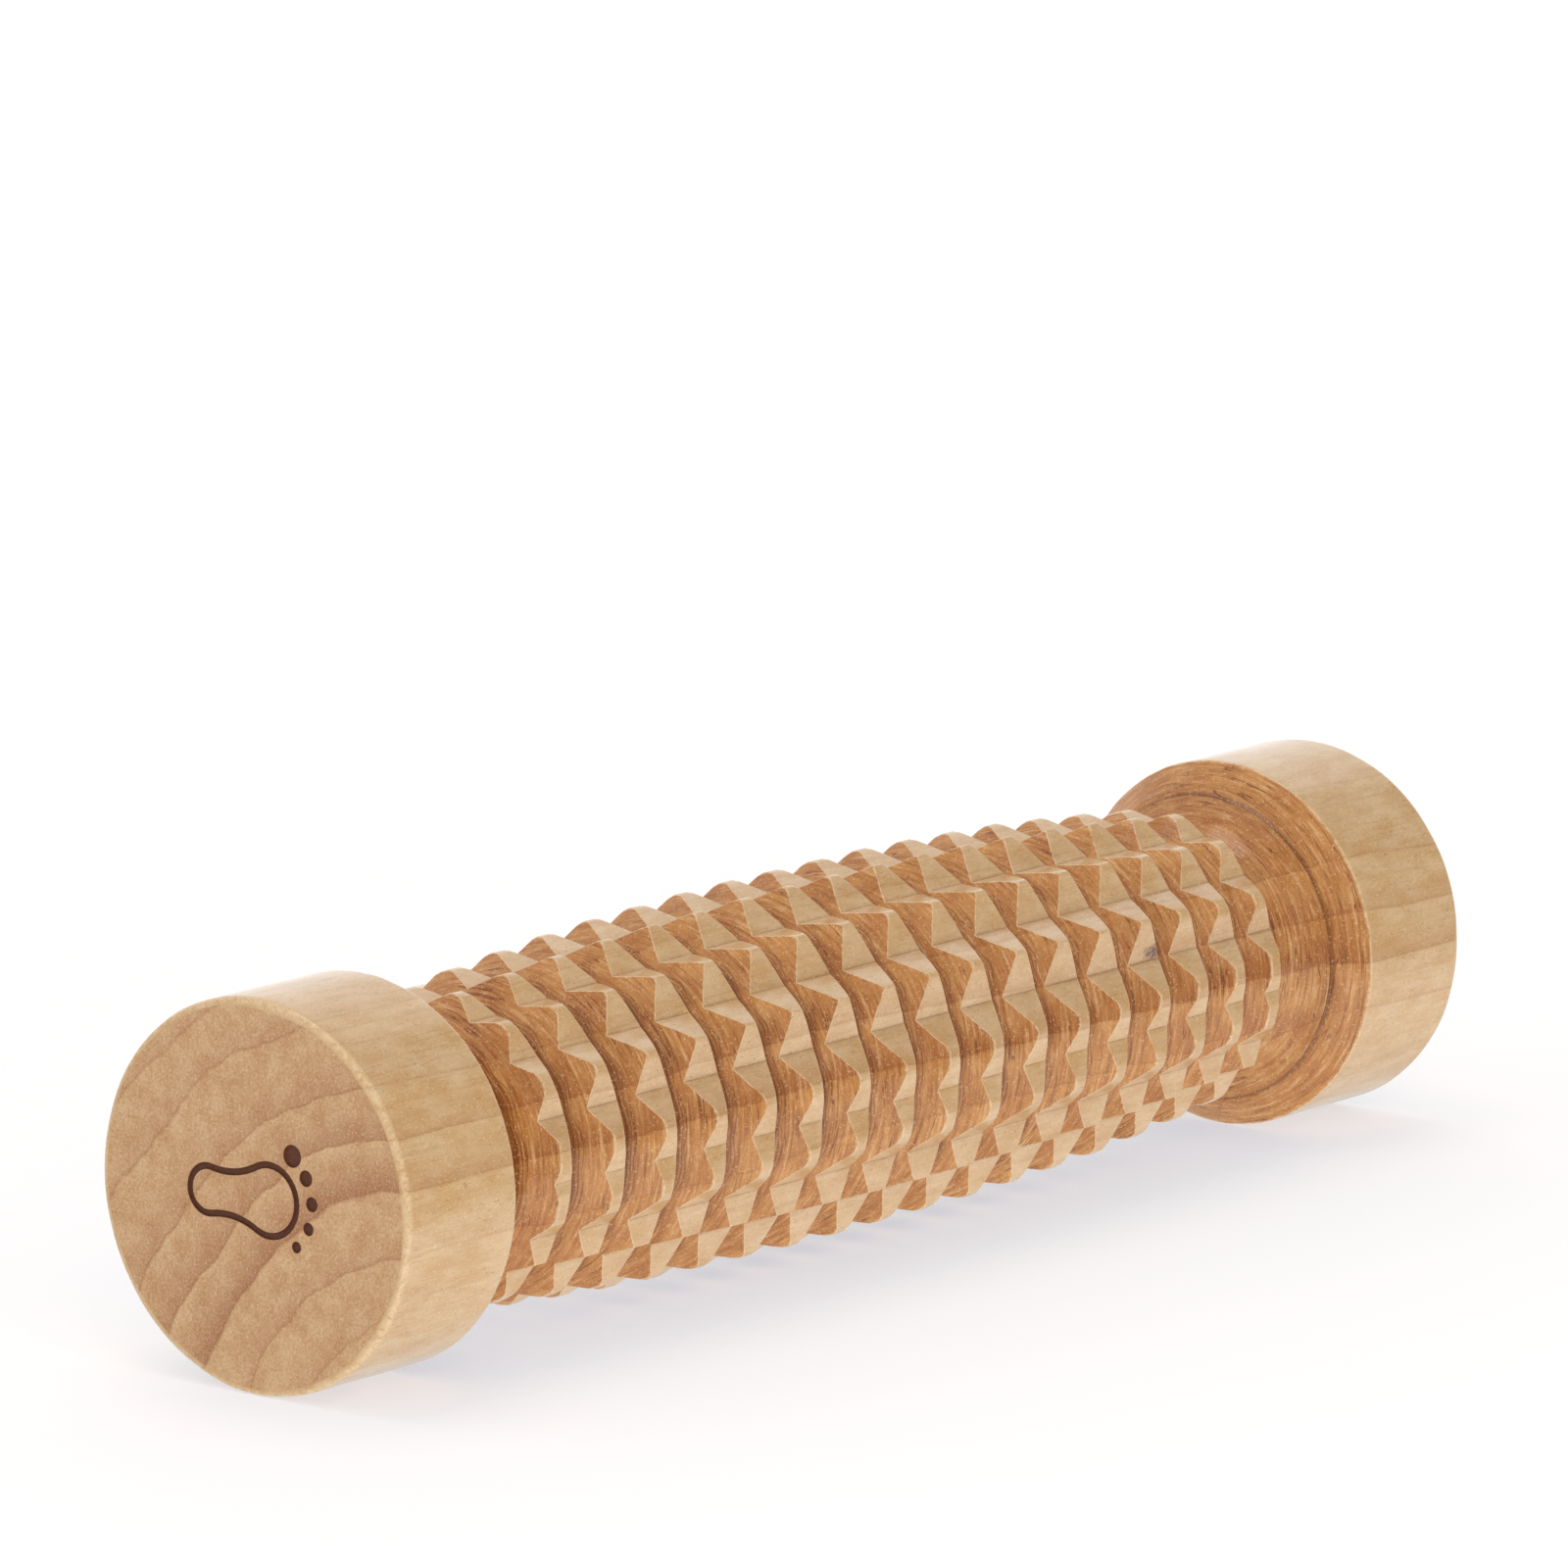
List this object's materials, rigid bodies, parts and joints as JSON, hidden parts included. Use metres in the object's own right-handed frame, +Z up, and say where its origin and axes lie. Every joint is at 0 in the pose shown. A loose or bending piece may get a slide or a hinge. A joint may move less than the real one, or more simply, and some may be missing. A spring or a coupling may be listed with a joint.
{
  "type": "foot massage roller",
  "caption": "Turned wooden roller with plain end caps and ridged rings cut into pyramid teeth, rolled under the foot to massage the sole.",
  "frame": {"origin": "middle of the roller, on its turning axis", "axes": "+X along the roller's axis, from the engraved end face towards the plain one; +Z up when it lies on its caps"},
  "size_m": [0.22, 0.0504, 0.0504],
  "materials": {
    "lacquered_wood": "clear satin lacquer"
  },
  "bodies": {
    "root": {"massage_roller": "lacquered_wood"}
  },
  "joints": []
}
